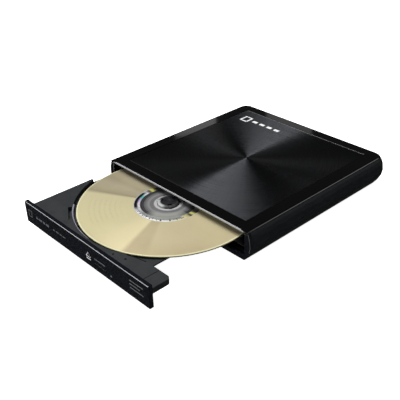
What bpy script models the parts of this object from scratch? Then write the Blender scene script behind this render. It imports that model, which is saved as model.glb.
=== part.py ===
"""External slim optical drive with its disc tray half open and a disc loaded.

Lengths are written in millimetres and scaled to metres when a mesh is made.
Plan coordinates: X to the right seen from the front, Y to the back from the
case's front face, Z up. Two empties carry the pieces: "case_home", whose zero
height is the surface that the feet stand on, and "drive_home", which lifts the
drive inside the case by DRIVE_LIFT. FRONT_Y puts the origin under the middle of
the whole object.
"""
import math

import bmesh
import bpy
from mathutils import Vector

MM = 0.001
GAP = 0.3               # between neighbouring solids
PAST = 1.0              # how far a cutter runs out past the face it opens

# ---- case
CASE_DEPTH = 142.3      # at the widest height
CASE_HALF_WIDTH = 69.4  # at the widest height
CASE_WIDEST_Z = 12.0
CASE_CURL = 5.0         # how far the side curls in at the bottom
CASE_LEAN = 2.6         # how far it leans in at the top
CASE_BULGE = 2.2        # power of the side's curve, both up and down
CASE_BOTTOM_Z = 0.8
CASE_TOP_Z = 22.4
CASE_WALL = 2.0
CASE_FLOOR = 1.5
CASE_CORNER = 6.0
SPLIT_Z = 21.5          # underside of the top cover's rim
LIP_Z = 21.0            # underside of the cover's lip over the mouth
COVER_PLATE = 1.4
EDGE_ROUND = 0.7
PANEL_HALF_WIDTH = 57.4
PANEL_FRONT = 9.1
PANEL_BACK = 131.4
PANEL_THICK = 0.6
PANEL_SINK = 0.1
FRAME_DEPTH = 2.5
FRAME_EDGE = 0.9
SHELL_HEIGHTS = (CASE_BOTTOM_Z, 1.4, 2.5, 4.5, 8.0, CASE_WIDEST_Z, 16.5, 19.5)
STANDOFF_RADIUS = 2.8
BOSS_RADIUS = 2.4
FOOT_RADIUS = 5.0
FOOT_TOP_Z = 1.1
SCREW_HOLE = 1.2
SCREW_HEAD_SEAT = 2.5
CASE_SCREW_TIP_Z = 8.5

# ---- bridge board and its sockets, in the case home
BOARD_Z = 7.0
BOARD_TOP = BOARD_Z + 1.2
BOARD_FRONT = 130.6
BOARD_BACK = 138.8
SOCKET_BACK = 141.6
SOCKET_BASE = BOARD_TOP + GAP
USB_X = -12.2
USB_HALF = 3.85
USB_HIGH = 3.9
USB_WALL = 0.4
JACK_X = -36.0
JACK_HALF = 4.0
JACK_HIGH = 6.8
JACK_BORE = 2.7
JACK_PIN = 0.6

# ---- mouth, in the case home, and tray bezel, in the drive home
MOUTH_HALF_WIDTH = 64.5
MOUTH_BOTTOM_Z = 5.0
BEZEL_HALF_WIDTH = 64.0
BEZEL_BOTTOM_Z = 3.7
BEZEL_TOP_Z = 19.1
BEZEL_DEPTH = 3.0
TRAY_OUT = 72.8         # bezel front ahead of the case front, as stored
BUTTON_X = (13.0, 24.0)
BUTTON_Z = (8.4, 12.2)
BUTTON_DEPTH = 3.1
BUTTON_PROUD = 0.1
LED_SPOT = (29.2, 7.4)
PINHOLE_SPOT = (34.5, 7.4)

# ---- tray and disc: heights from here on are in the drive's home
DRIVE_LIFT = 1.6
DECK_Z = 15.7
TRAY_FLOOR_Z = 12.8
TRAY_UNDER_Z = 11.8
TRAY_LEFT = -61.5
TRAY_RIGHT = 44.0
WING_RIGHT = 62.7
WING_BACK = 17.0        # behind the bezel front
TRAY_REAR = 126.0       # behind the bezel front
WING_ROUND = 2.5
DISC_BEHIND_BEZEL = 69.0
DISC_RADIUS = 60.0
DISC_HOLE = 7.5
DISC_BOTTOM_Z = 13.5
DISC_THICK = 1.2
RECESS_RADIUS = 62.3
LEFT_GAP_HALF = 17.2    # half length of the low stretch of the left rim
PLATE_Z = 7.7           # underside of the plate that carries the mechanism
PARTS_Z = 8.5           # underside of what stands on that plate
PARTS_TOP_Z = 11.4
LATCH_PIVOT = (33.6, -45.0)
LATCH_REACH = 6.6       # from the pivot forward to the pin, with the tray shut
RUNNER_SECTION = ((0.0, 8.45), (2.8, 8.45), (2.8, 9.85), (1.5, 9.85), (1.5, TRAY_UNDER_Z + 0.4),
                  (0.0, TRAY_UNDER_Z + 0.4))

# ---- drive chassis
PAN_HALF_WIDTH = 64.2
PAN_FRONT = 3.8
PAN_REAR = 130.2
PAN_BOTTOM_Z = 6.1
PAN_TOP_Z = 17.9
SHEET = 0.5
LID_Z = 18.2

# ---- telescopic runners: distances outward from the tray skirt's inner face
LEFT_RUN_X = -58.9
RIGHT_RUN_X = 41.4
RAIL_LENGTH = 89.0
RAIL_FRONT = 1.0
GUIDE_LENGTH = 122.0
RIGHT_GUIDE_LENGTH = 105.5
GUIDE_FRONT = 4.5
RIGHT_SKIRT_FRONT = 46.0

# ---- traverse: the pickup travels along a diagonal, s ahead and t across
TRAVERSE_ANGLE = math.radians(237.3)
LENS_START = 24.0
ROD_T = 15.0
ROD_Z = 9.6
SCREW_T = -19.5
SCREW_Z = 9.7
CLAW_ANGLES = (90.0, 210.0, 330.0)

FRONT_Y = (TRAY_OUT + BUTTON_PROUD - CASE_DEPTH) / 2.0
HOME_HEIGHT = {"case_home": 0.0, "drive_home": DRIVE_LIFT}
PAN_UNDERSIDE = PAN_BOTTOM_Z + DRIVE_LIFT
DISC_Y = DISC_BEHIND_BEZEL - TRAY_OUT
FOOT_SPOTS = ((-54.0, 14.0), (54.0, 14.0), (-54.0, 122.0), (54.0, 122.0))
DRIVE_SCREW_SPOTS = ((-52.0, 30.0), (52.0, 30.0), (-52.0, 110.0), (52.0, 110.0))
CASE_SCREW_SPOTS = ((-60.2, 133.0), (60.2, 133.0))

FINISHES = {
    # name: (colour, roughness, metallic)
    "shell_satin": ((0.030, 0.036, 0.036), 0.42, 0.0),
    "cover_gloss": ((0.010, 0.010, 0.012), 0.08, 0.0),
    "panel_brushed": ((0.045, 0.048, 0.054), 0.30, 0.9),
    "bezel_gloss": ((0.010, 0.011, 0.016), 0.10, 0.0),
    "rubber_black": ((0.02, 0.02, 0.02), 0.80, 0.0),
    "screw_steel": ((0.30, 0.30, 0.31), 0.35, 1.0),
    "sheet_steel": ((0.45, 0.46, 0.47), 0.38, 1.0),
    "guide_plastic": ((0.55, 0.55, 0.52), 0.55, 0.0),
    "board_green": ((0.02, 0.12, 0.05), 0.45, 0.0),
    "chip_black": ((0.02, 0.02, 0.022), 0.50, 0.0),
    "cable_film": ((0.70, 0.70, 0.66), 0.45, 0.0),
    "socket_black": ((0.02, 0.02, 0.02), 0.50, 0.0),
    "port_steel": ((0.60, 0.60, 0.62), 0.25, 1.0),
    "tray_matte": ((0.040, 0.046, 0.052), 0.55, 0.0),
    "lens_clear": ((0.35, 0.38, 0.40), 0.15, 0.0),
    "motor_steel": ((0.50, 0.50, 0.52), 0.30, 1.0),
    "turntable_grey": ((0.10, 0.10, 0.11), 0.40, 0.0),
    "disc_gold": ((0.76, 0.68, 0.42), 0.25, 0.4),
    "sled_black": ((0.05, 0.05, 0.055), 0.50, 0.0),
    "lens_glass": ((0.50, 0.55, 0.75), 0.05, 0.0),
    "lever_white": ((0.70, 0.70, 0.66), 0.50, 0.0),
    "coil_copper": ((0.60, 0.28, 0.12), 0.40, 0.8),
}


def clear_scene():
    for obj in list(bpy.data.objects):
        bpy.data.objects.remove(obj, do_unlink=True)


# ------------------------------------------------------------------ meshes

def finished(bm):
    """Merge doubled points and turn every face outward."""
    bmesh.ops.remove_doubles(bm, verts=bm.verts, dist=1e-5)
    bmesh.ops.recalc_face_normals(bm, faces=bm.faces)
    return bm


def loft(rings):
    """Closed solid through rings with equal numbers of points, capped at both ends."""
    bm = bmesh.new()
    loops = [[bm.verts.new(point) for point in ring] for ring in rings]
    count = len(rings[0])
    for lower, upper in zip(loops, loops[1:]):
        for i in range(count):
            j = (i + 1) % count
            bm.faces.new((lower[i], lower[j], upper[j], upper[i]))
    bm.faces.new(loops[0])
    bm.faces.new(loops[-1])
    return finished(bm)


def box(lo, hi):
    x0, y0, z0 = lo
    x1, y1, z1 = hi
    return prism(((x0, y0), (x1, y0), (x1, y1), (x0, y1)), z0, z1)


def prism(outline, z0, z1):
    """Upright prism over a plan outline."""
    return loft([[(x, y, z) for x, y in outline] for z in (z0, z1)])


def beam(section, y0, y1):
    """A section in X and Z, drawn out along Y."""
    return loft([[(x, y, z) for x, z in section] for y in (y0, y1)])


def circle(x, y, radius, steps):
    turn = 2.0 * math.pi / steps
    return [(x + radius * math.cos(i * turn), y + radius * math.sin(i * turn)) for i in range(steps)]


def post(x, y, radius, z0, z1, steps=24):
    return prism(circle(x, y, radius, steps), z0, z1)


def peg(x, z, radius, y0, y1, steps=16):
    """Round bar along Y."""
    return beam(circle(x, z, radius, steps), y0, y1)


def rod(start, end, radius, steps=12):
    """Round bar between two points."""
    a, b = Vector(start), Vector(end)
    turn = (b - a).to_track_quat("Z", "Y")
    ring = [turn @ Vector((x, y, 0.0)) for x, y in circle(0.0, 0.0, radius, steps)]
    return loft([[a + p for p in ring], [b + p for p in ring]])


def turned(profile, x, y, steps=32):
    """Solid of revolution about an upright axis; the profile starts and ends on the axis."""
    bm = bmesh.new()
    verts = [bm.verts.new((radius, 0.0, z)) for radius, z in profile]
    edges = [bm.edges.new(pair) for pair in zip(verts, verts[1:])]
    bmesh.ops.spin(bm, geom=verts + edges, axis=(0, 0, 1), cent=(0, 0, 0),
                   angle=2.0 * math.pi, steps=steps, use_merge=True)
    bmesh.ops.dissolve_degenerate(bm, dist=1e-5, edges=bm.edges)
    bmesh.ops.translate(bm, verts=bm.verts, vec=(x, y, 0.0))
    return finished(bm)


def tube(x, y, inner, outer, z0, z1, steps=32):
    """Upright ring with a through bore."""
    bm = bmesh.new()
    rings = [[bm.verts.new((px, py, z)) for px, py in circle(x, y, radius, steps)]
             for radius, z in ((outer, z0), (outer, z1), (inner, z1), (inner, z0))]
    for k in range(4):
        a, b = rings[k], rings[(k + 1) % 4]
        for i in range(steps):
            j = (i + 1) % steps
            bm.faces.new((a[i], a[j], b[j], b[i]))
    return finished(bm)


def together(*parts):
    """Several separate solids in one mesh."""
    whole = bmesh.new()
    for part in parts:
        scratch = bpy.data.meshes.new("scratch")
        part.to_mesh(scratch)
        part.free()
        whole.from_mesh(scratch)
        bpy.data.meshes.remove(scratch)
    return whole


# ----------------------------------------------------------------- objects

def finish(name):
    found = bpy.data.materials.get(name)
    if found:
        return found
    colour, roughness, metallic = FINISHES[name]
    made = bpy.data.materials.new(name)
    made.use_nodes = True
    shader = made.node_tree.nodes["Principled BSDF"]
    shader.inputs["Base Color"].default_value = (*colour, 1.0)
    shader.inputs["Roughness"].default_value = roughness
    shader.inputs["Metallic"].default_value = metallic
    made.diffuse_color = (*colour, 1.0)
    return made


def home(name):
    """The empty that carries the pieces of the case or of the drive."""
    found = bpy.data.objects.get(name)
    if found:
        return found
    made = bpy.data.objects.new(name, None)
    made.location = Vector((0.0, FRONT_Y, HOME_HEIGHT[name])) * MM
    bpy.context.collection.objects.link(made)
    return made


def add(name, bm, look, parent, pivot=(0.0, 0.0, 0.0), smooth=True):
    """Put a mesh, drawn in plan millimetres, in its home with its origin at the pivot."""
    bmesh.ops.translate(bm, verts=bm.verts, vec=-Vector(pivot))
    bmesh.ops.scale(bm, verts=bm.verts, vec=(MM, MM, MM))
    mesh = bpy.data.meshes.new(name)
    bm.to_mesh(mesh)
    bm.free()
    mesh.materials.append(finish(look))
    if smooth:
        mesh.shade_smooth()
        mesh.set_sharp_from_angle(angle=math.radians(35))
    obj = bpy.data.objects.new(name, mesh)
    obj.parent = parent
    obj.location = Vector(pivot) * MM
    bpy.context.collection.objects.link(obj)
    return obj


def case_piece(name, bm, look, **options):
    return add(name, bm, look, home("case_home"), **options)


def drive_piece(name, bm, look, **options):
    return add(name, bm, look, home("drive_home"), **options)


def tool(name, bm, parent):
    """A hidden solid that a Boolean reads."""
    obj = add(name, bm, "sheet_steel", parent, smooth=False)
    obj.hide_render = True
    obj.display_type = "WIRE"
    return obj


def combine(obj, operation, *parts):
    step = len(obj.modifiers) + 1
    modifier = obj.modifiers.new(f"{operation.lower()}_{step}", "BOOLEAN")
    modifier.operation = operation
    modifier.object = tool(f"tool_{obj.name}_{step}", together(*parts), obj.parent)
    modifier.solver = "EXACT"


def cut(obj, *parts):
    combine(obj, "DIFFERENCE", *parts)


def fuse(obj, *parts):
    combine(obj, "UNION", *parts)


def soften(obj, width, segments=2, angle=50.0):
    bevel = obj.modifiers.new("soft_edges", "BEVEL")
    bevel.width = width * MM
    bevel.segments = segments
    bevel.limit_method = "ANGLE"
    bevel.angle_limit = math.radians(angle)
    return bevel


# -------------------------------------------------------------------- case

def half_width(z):
    """Half width of the case at a height: a soft bulge, in at the top and further in at the bottom."""
    if z < CASE_WIDEST_Z:
        down = (CASE_WIDEST_Z - z) / (CASE_WIDEST_Z - CASE_BOTTOM_Z)
        return CASE_HALF_WIDTH - CASE_CURL * down ** CASE_BULGE
    up = (z - CASE_WIDEST_Z) / (CASE_TOP_Z - CASE_WIDEST_Z)
    return CASE_HALF_WIDTH - CASE_LEAN * up ** CASE_BULGE


def plan_outline(half, front, back, corner, steps=4):
    """Square front corners, rounded back corners."""
    points = [(-half, front), (half, front)]
    for cx, first in ((half - corner, 0.0), (corner - half, 90.0)):
        for i in range(steps + 1):
            turn = math.radians(first + 90.0 * i / steps)
            points.append((cx + corner * math.cos(turn), back - corner + corner * math.sin(turn)))
    return points


def case_ring(z, front, inset=0.0, front_inset=0.0):
    half = half_width(z) - inset
    back = CASE_DEPTH - (CASE_HALF_WIDTH - half)
    corner = max(CASE_CORNER - inset, 1.0)
    return [(x, y, z) for x, y in plan_outline(half, front + front_inset, back, corner)]


def make_bottom_shell():
    front = FRAME_DEPTH + GAP
    top = SPLIT_Z - GAP
    outer = [case_ring(z, front) for z in (*SHELL_HEIGHTS, top)]
    shell = case_piece("bottom_shell", loft(outer), "shell_satin")
    floor_top = CASE_BOTTOM_Z + CASE_FLOOR
    hollow = [case_ring(z, front, CASE_WALL, CASE_WALL) for z in (floor_top, *SHELL_HEIGHTS[3:], top)]
    hollow.append([(x, y, top + PAST) for x, y, _ in hollow[-1]])
    cut(shell, loft(hollow))
    root = floor_top - 0.4
    standoffs = [post(x, y, STANDOFF_RADIUS, root, PAN_UNDERSIDE - GAP, 16) for x, y in DRIVE_SCREW_SPOTS]
    board_posts = [box((x - 2.0, 130.5, root), (x + 2.0, 135.0, BOARD_Z - GAP)) for x in (-50.0, 48.0)]
    fuse(shell, *standoffs, *board_posts)
    mouth = box((-MOUTH_HALF_WIDTH, 0.0, MOUTH_BOTTOM_Z), (MOUTH_HALF_WIDTH, 6.0, CASE_TOP_Z))
    foot_seats = [post(x, y, FOOT_RADIUS + GAP, 0.0, FOOT_TOP_Z + GAP) for x, y in FOOT_SPOTS]
    screws = DRIVE_SCREW_SPOTS + CASE_SCREW_SPOTS
    heads = [post(x, y, SCREW_HEAD_SEAT, 0.0, 2.1, 16) for x, y in screws]
    cut(shell, mouth, socket_window(USB_X, USB_HALF, USB_HIGH), socket_window(JACK_X, JACK_HALF, JACK_HIGH),
        *foot_seats, *heads)
    cut(shell, *[post(x, y, SCREW_HOLE, CASE_BOTTOM_Z, 9.0, 12) for x, y in screws])


def make_top_cover():
    """Thin rounded rim, thickened inside the walls, with a lip over the mouth and a seat for the panel."""
    rings = [case_ring(SPLIT_Z, 0.0), case_ring(CASE_TOP_Z - EDGE_ROUND, 0.0)]
    for degrees in (30.0, 60.0, 90.0):
        turn = math.radians(degrees)
        inset = EDGE_ROUND * (1.0 - math.cos(turn))
        z = CASE_TOP_Z - EDGE_ROUND * (1.0 - math.sin(turn))
        rings.append(case_ring(z, 0.0, inset, inset))
    cover = case_piece("top_cover", loft(rings), "cover_gloss")
    inside = CASE_WALL + GAP
    plate = [(x, y) for x, y, _ in case_ring(SPLIT_Z, FRAME_DEPTH + GAP, inside, inside)]
    plate_under = CASE_TOP_Z - COVER_PLATE
    lip_end = MOUTH_HALF_WIDTH - GAP
    lip = box((-lip_end, 0.0, LIP_Z), (lip_end, FRAME_DEPTH - GAP, SPLIT_Z + 0.4))
    bosses = [post(x, y, BOSS_RADIUS, CASE_BOTTOM_Z + CASE_FLOOR + GAP, plate_under + 0.3, 16)
              for x, y in CASE_SCREW_SPOTS]
    fuse(cover, prism(plate, plate_under, SPLIT_Z + 0.4))
    fuse(cover, lip, *bosses)
    panel_top = CASE_TOP_Z - PANEL_SINK
    panel_under = panel_top - PANEL_THICK
    seat = box((-PANEL_HALF_WIDTH - GAP, PANEL_FRONT - GAP, panel_under - GAP),
               (PANEL_HALF_WIDTH + GAP, PANEL_BACK + GAP, CASE_TOP_Z + PAST))
    pilots = [post(x, y, SCREW_HOLE, 0.0, 9.0, 12) for x, y in CASE_SCREW_SPOTS]
    cut(cover, seat, *pilots)
    panel = box((-PANEL_HALF_WIDTH, PANEL_FRONT, panel_under), (PANEL_HALF_WIDTH, PANEL_BACK, panel_top))
    case_piece("top_panel", panel, "panel_brushed")


def make_front_frame():
    """U-shaped frame: a sill below the mouth and a post on either side of it."""
    top = SPLIT_Z - GAP
    right = [(half_width(z), z) for z in (*SHELL_HEIGHTS, top)]
    left = [(-x, z) for x, z in reversed(right)]
    inner = [(-MOUTH_HALF_WIDTH, top), (-MOUTH_HALF_WIDTH, MOUTH_BOTTOM_Z),
             (MOUTH_HALF_WIDTH, MOUTH_BOTTOM_Z), (MOUTH_HALF_WIDTH, top)]
    section = beam(right + inner[::-1] + left, 0.0, FRAME_DEPTH)
    weight = section.edges.layers.float.new("bevel_weight_edge")
    for edge in section.edges:
        edge[weight] = float(all(v.co.y < FRAME_DEPTH / 2.0 for v in edge.verts))
    frame = case_piece("front_frame", section, "bezel_gloss")
    bevel = soften(frame, FRAME_EDGE, 3)
    bevel.limit_method = "WEIGHT"


def make_feet_and_screws():
    for i, (x, y) in enumerate(FOOT_SPOTS, 1):
        case_piece(f"foot_{i}", post(x, y, FOOT_RADIUS, 0.0, FOOT_TOP_Z), "rubber_black")
    for i, (x, y) in enumerate(DRIVE_SCREW_SPOTS, 1):
        make_screw(f"drive_screw_{i}", x, y, PAN_UNDERSIDE + 0.3)
    for i, (x, y) in enumerate(CASE_SCREW_SPOTS, 1):
        make_screw(f"case_screw_{i}", x, y, CASE_SCREW_TIP_Z)


def make_screw(name, x, y, tip_z):
    """Pan-head screw with a dished head, pointing up."""
    profile = ((0.0, 1.3), (0.8, 1.0), (2.2, 1.0), (2.2, 1.8), (0.9, 1.8), (0.9, tip_z - 0.5),
               (0.0, tip_z))
    case_piece(name, turned(profile, x, y, 16), "screw_steel", pivot=(x, y, 0.0))


# ------------------------------------------------------------ rear sockets

def socket_window(x, half, high):
    """Opening in the rear wall, a little larger than the socket behind it."""
    room = 0.4
    return box((x - half - room, BOARD_BACK - PAST, BOARD_TOP - 0.1),
               (x + half + room, CASE_DEPTH + PAST, SOCKET_BASE + high + room))


def make_bridge_board():
    board = box((-57.0, BOARD_FRONT, BOARD_Z), (55.0, BOARD_BACK, BOARD_TOP))
    case_piece("bridge_board", board, "board_green")
    case_piece("bridge_chip", box((1.0, 131.2, SOCKET_BASE), (8.0, 136.4, SOCKET_BASE + 1.2)), "chip_black")
    case_piece("capacitor", post(-49.0, 133.6, 2.6, SOCKET_BASE, SOCKET_BASE + 6.0), "port_steel")
    case_piece("drive_connector", box((12.0, PAN_REAR + GAP, SOCKET_BASE), (46.0, 134.4, SOCKET_BASE + 4.6)),
               "socket_black")

    port = case_piece("usb_port", box((USB_X - USB_HALF, 131.0, SOCKET_BASE),
                                      (USB_X + USB_HALF, SOCKET_BACK, SOCKET_BASE + USB_HIGH)), "port_steel")
    cut(port, box((USB_X - USB_HALF + USB_WALL, 133.4, SOCKET_BASE + USB_WALL),
                  (USB_X + USB_HALF - USB_WALL, SOCKET_BACK + PAST, SOCKET_BASE + USB_HIGH - USB_WALL)))
    middle = SOCKET_BASE + USB_HIGH / 2.0
    fuse(port, box((USB_X - 2.6, 132.9, middle - 0.4), (USB_X + 2.6, SOCKET_BACK - 0.7, middle + 0.4)))

    body = box((JACK_X - JACK_HALF, 131.0, SOCKET_BASE),
               (JACK_X + JACK_HALF, SOCKET_BACK, SOCKET_BASE + JACK_HIGH))
    jack = case_piece("dc_jack", body, "socket_black")
    middle = SOCKET_BASE + JACK_HIGH / 2.0
    cut(jack, peg(JACK_X, middle, JACK_BORE, 132.4, SOCKET_BACK + PAST, 20))
    fuse(jack, peg(JACK_X, middle, JACK_PIN, 131.9, SOCKET_BACK - 1.0, 10))


# ---------------------------------------------------------- drive chassis

def make_chassis():
    """Pressed pan and lid, with the drive's own board, its ribbon and the pin that the latch holds."""
    inner = PAN_HALF_WIDTH - SHEET
    floor = PAN_BOTTOM_Z + SHEET
    pan = drive_piece("drive_pan", box((-PAN_HALF_WIDTH, PAN_FRONT, PAN_BOTTOM_Z),
                                       (PAN_HALF_WIDTH, PAN_REAR, PAN_TOP_Z)), "sheet_steel", smooth=False)
    cut(pan, box((-inner, 0.0, floor), (inner, PAN_REAR - SHEET, PAN_TOP_Z + PAST)))
    cut(pan, *[post(x, y, SCREW_HOLE, PAN_BOTTOM_Z - PAST, floor + PAST, 12) for x, y in DRIVE_SCREW_SPOTS])
    lid = box((-PAN_HALF_WIDTH, PAN_FRONT, LID_Z), (PAN_HALF_WIDTH, PAN_REAR, LID_Z + SHEET))
    drive_piece("drive_lid", lid, "sheet_steel", smooth=False)
    drive_piece("main_board", box((48.0, 22.0, 7.5), (63.2, 122.0, 8.5)), "board_green")
    drive_piece("main_chip", box((50.0, 60.0, 8.8), (61.0, 71.0, 10.2)), "chip_black")
    ribbon = ((37.4, 40.0), (41.0, 40.0), (41.0, 113.0), (52.0, 113.0), (52.0, 116.6), (37.4, 116.6))
    drive_piece("flat_cable", prism(ribbon, 6.9, 7.1), "cable_film")
    pin_y = LATCH_PIVOT[1] + TRAY_OUT + LATCH_REACH
    drive_piece("latch_pin", post(38.0, pin_y, 0.8, floor + GAP, 10.4, 12), "screw_steel")


def channel(run_x, side, near, far, z0, z1, thick):
    """C section open toward the tray; near and far are distances outward from the run."""
    shape = ((near, z0), (far, z0), (far, z1), (near, z1), (near, z1 - thick), (far - thick, z1 - thick),
             (far - thick, z0 + thick), (near, z0 + thick))
    return [(run_x + side * q, z) for q, z in shape]


def make_runners():
    """On each side a fixed guide holds a sliding rail, which holds the lip of the tray's skirt."""
    runs = (("left", LEFT_RUN_X, -1.0, GUIDE_LENGTH), ("right", RIGHT_RUN_X, 1.0, RIGHT_GUIDE_LENGTH))
    for label, run_x, side, guide_length in runs:
        guide = beam(channel(run_x, side, 2.5, 4.5, 6.9, 11.4, 0.5), GUIDE_FRONT, GUIDE_FRONT + guide_length)
        drive_piece(f"{label}_guide", guide, "guide_plastic", smooth=False)
        rail = beam(channel(run_x, side, 1.8, 3.6, 7.7, 10.6, 0.45), RAIL_FRONT, RAIL_FRONT + RAIL_LENGTH)
        drive_piece(f"{label}_slide_rail", rail, "port_steel", smooth=False,
                    pivot=(run_x + side * 2.7, RAIL_FRONT, 9.15))


# -------------------------------------------------------------------- tray

def behind(distance):
    """Plan Y of a point on the tray, given its distance behind the bezel's front."""
    return distance - TRAY_OUT


def traverse(s, t):
    """Plan point s ahead of the disc's centre along the pickup's path and t across it."""
    ahead = Vector((math.cos(TRAVERSE_ANGLE), math.sin(TRAVERSE_ANGLE)))
    across = Vector((-ahead.y, ahead.x))
    point = Vector((0.0, DISC_Y)) + s * ahead + t * across
    return (point.x, point.y)


def slanted_box(s0, s1, t0, t1, z0, z1):
    corners = ((s0, t0), (s1, t0), (s1, t1), (s0, t1))
    return prism([traverse(s, t) for s, t in corners], z0, z1)


def tray_outline():
    front = behind(BEZEL_DEPTH + GAP)
    wing = behind(WING_BACK)
    points = [(TRAY_LEFT, front), (WING_RIGHT, front)]
    for i in range(5):
        turn = math.radians(90.0 * i / 4)
        points.append((WING_RIGHT - WING_ROUND + WING_ROUND * math.cos(turn),
                       wing - WING_ROUND + WING_ROUND * math.sin(turn)))
    points += [(TRAY_RIGHT, wing), (TRAY_RIGHT, behind(TRAY_REAR)), (TRAY_LEFT, behind(TRAY_REAR))]
    return points


def make_tray_frame():
    """Flat tray with a round recess for the disc, a slot over the pickup and two lipped skirts."""
    frame = drive_piece("tray_frame", prism(tray_outline(), TRAY_UNDER_Z, DECK_Z), "tray_matte",
                        pivot=(0.0, behind(0.0), 0.0))
    rear = behind(TRAY_REAR) - 0.5
    left = [(LEFT_RUN_X - q, z) for q, z in RUNNER_SECTION]
    right = [(RIGHT_RUN_X + q, z) for q, z in RUNNER_SECTION]
    fuse(frame, beam(left, behind(6.0), rear), beam(right, behind(RIGHT_SKIRT_FRONT), rear))

    over = DECK_Z + PAST
    edge = TRAY_RIGHT + 3.0
    low_right = ((28.0, behind(12.6)), (35.0, behind(14.6)), (edge, behind(WING_BACK)),
                 (edge, behind(40.0)), (20.0, behind(40.0)))
    low_left = box((TRAY_LEFT - 3.0, DISC_Y - LEFT_GAP_HALF, TRAY_FLOOR_Z),
                   (-50.0, DISC_Y + LEFT_GAP_HALF, over))
    cut(frame, post(0.0, DISC_Y, RECESS_RADIUS, TRAY_FLOOR_Z, over, 96))
    cut(frame, prism(low_right, TRAY_FLOOR_Z, over))
    cut(frame, low_left)
    cut(frame, slanted_box(56.0, 64.8, -7.5, 7.5, TRAY_FLOOR_Z - 0.1, over))

    below = TRAY_UNDER_Z - PAST
    cut(frame, post(0.0, DISC_Y, 16.3, below, TRAY_FLOOR_Z + PAST, 40))
    cut(frame, slanted_box(0.0, 59.5, -15.5, 15.5, below, TRAY_FLOOR_Z + PAST))
    button_well = box((12.0, behind(0.0), 7.0), (25.0, behind(4.6), 12.6))
    cut(frame, button_well, post(31.0, behind(9.8), 0.8, 14.6, over, 12),
        post(22.0, behind(7.8), 0.7, 14.6, over, 12))


def make_bezel():
    front, back = behind(0.0), behind(BEZEL_DEPTH)
    bezel = drive_piece("tray_bezel", box((-BEZEL_HALF_WIDTH, front, BEZEL_BOTTOM_Z),
                                          (BEZEL_HALF_WIDTH, back, BEZEL_TOP_Z)), "bezel_gloss",
                        pivot=(0.0, front, 0.0))
    soften(bezel, 0.35)
    button_hole = box((BUTTON_X[0] - GAP, front - PAST, BUTTON_Z[0] - GAP),
                      (BUTTON_X[1] + GAP, back + PAST, BUTTON_Z[1] + GAP))
    cut(bezel, button_hole, peg(*LED_SPOT, 0.75 + GAP, front - PAST, back + PAST),
        peg(*PINHOLE_SPOT, 0.6, front - PAST, back + PAST, 10))
    drive_piece("led_window", peg(*LED_SPOT, 0.75, front, back), "lens_clear")

    middle_z = sum(BUTTON_Z) / 2.0
    button = drive_piece("eject_button", box((BUTTON_X[0], behind(-BUTTON_PROUD), BUTTON_Z[0]),
                                             (BUTTON_X[1], behind(BUTTON_DEPTH), BUTTON_Z[1])), "bezel_gloss",
                         pivot=(sum(BUTTON_X) / 2.0, front, middle_z))
    soften(button, 0.3)
    fuse(button, box((17.2, behind(BUTTON_DEPTH - GAP), middle_z - 0.8), (19.8, behind(4.4), middle_z + 0.8)))


def make_tray_inside():
    """What hangs under the tray: its cover, board, motors, pickup rods, dampers and latch magnet."""
    under = drive_piece("tray_bottom_cover", box((-57.0, behind(4.0), 6.9), (36.6, behind(124.0), 11.5)),
                        "sheet_steel", pivot=(0.0, behind(0.0), 0.0), smooth=False)
    cut(under, box((-56.4, behind(0.0), 7.4), (36.0, behind(123.4), 11.5 + PAST)))
    latch_door = box((35.0, behind(32.0), 8.2), (38.0, behind(38.5), 11.0))
    cut(under, latch_door)

    drive_piece("tray_board", box((-8.0, behind(4.9), 8.4), (34.0, behind(17.0), 9.2)), "board_green")
    drive_piece("eject_switch", box((15.9, behind(5.6), 9.5), (21.1, behind(7.8), 11.3)), "chip_black")
    outline = ((-13.0, -26.0), (58.0, -26.0), (61.0, -18.0), (61.0, 18.0), (57.0, 22.5), (-13.0, 22.5))
    drive_piece("traverse_plate", prism([traverse(s, t) for s, t in outline], PLATE_Z, PLATE_Z + SHEET),
                "sheet_steel", smooth=False)
    drive_piece("spindle_motor", tube(0.0, DISC_Y, 1.5, 11.0, PARTS_Z, 9.3), "motor_steel")
    for i, t in enumerate((-ROD_T, ROD_T), 1):
        ends = [(*traverse(s, t), ROD_Z) for s in (5.0, 60.0)]
        drive_piece(f"guide_rod_{i}", rod(*ends, 0.9), "port_steel")
    drive_piece("sled_motor", slanted_box(-9.0, 3.4, -24.0, -15.2, PARTS_Z, PARTS_TOP_Z), "motor_steel")
    for i, (s, t) in enumerate(((-9.0, 15.8), (54.0, -23.2), (52.0, 19.6)), 1):
        x, y = traverse(s, t)
        drive_piece(f"damper_{i}", post(x, y, 2.3, PARTS_Z, PARTS_TOP_Z, 16), "rubber_black")
    magnet = box((24.0, behind(27.0), PARTS_Z), (30.5, behind(35.0), PARTS_TOP_Z))
    drive_piece("latch_solenoid", magnet, "coil_copper")
    drive_piece("latch_pivot", post(*LATCH_PIVOT, 0.6, PLATE_Z, 10.9, 12), "screw_steel")


def make_latch_lever():
    """Flat lever on its pivot, with a hook that swings out through the side of the cover."""
    px, py = LATCH_PIVOT
    shape = [(px - 1.1, py + 1.5), (px + 1.1, py + 1.5), (px + 1.1, py + 8.3), (px + 2.7, py + 8.8),
             (px + 2.7, py + 10.4), (px - 1.1, py + 10.4)]
    low, high = 8.6, 10.4
    lever = drive_piece("latch_lever", prism(shape, low, high), "lever_white",
                        pivot=(px, py, (low + high) / 2.0))
    fuse(lever, tube(px, py, 0.9, 2.2, low, high, 16))


# --------------------------------------------------- spindle, disc, pickup

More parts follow.
